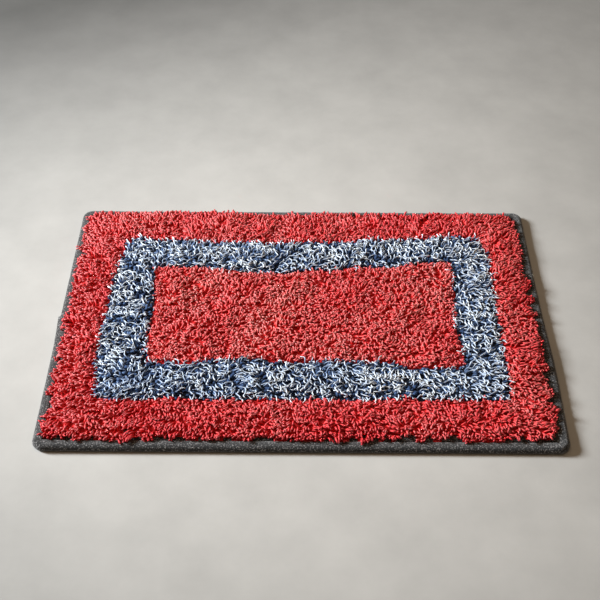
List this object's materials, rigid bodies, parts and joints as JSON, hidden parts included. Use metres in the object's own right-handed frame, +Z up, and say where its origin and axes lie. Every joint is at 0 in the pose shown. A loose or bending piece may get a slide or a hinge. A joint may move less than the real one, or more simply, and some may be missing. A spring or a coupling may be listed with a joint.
{
  "type": "shag rug",
  "caption": "Rectangular shag rug with a red pile, a blue and white band worked in a rectangle, a flat backing and a rolled charcoal felt binding.",
  "frame": {"origin": "on the floor under the middle of the rug", "axes": "+X along the rug's length, +Y across it from front to back, +Z up out of the pile"},
  "size_m": [0.9, 0.6, 0.0265],
  "materials": {
    "backing": "plain woven cotton, matt",
    "felt": "heathered charcoal felt, matt",
    "red_yarn": "soft plump cut yarn, matt",
    "band_yarn": "cut denim-blue strips with curly white yarn, matt"
  },
  "bodies": {
    "root": {"backing": "backing", "binding": "felt", "pile_border": "red_yarn", "pile_band": "band_yarn", "pile_centre": "red_yarn"}
  },
  "joints": []
}
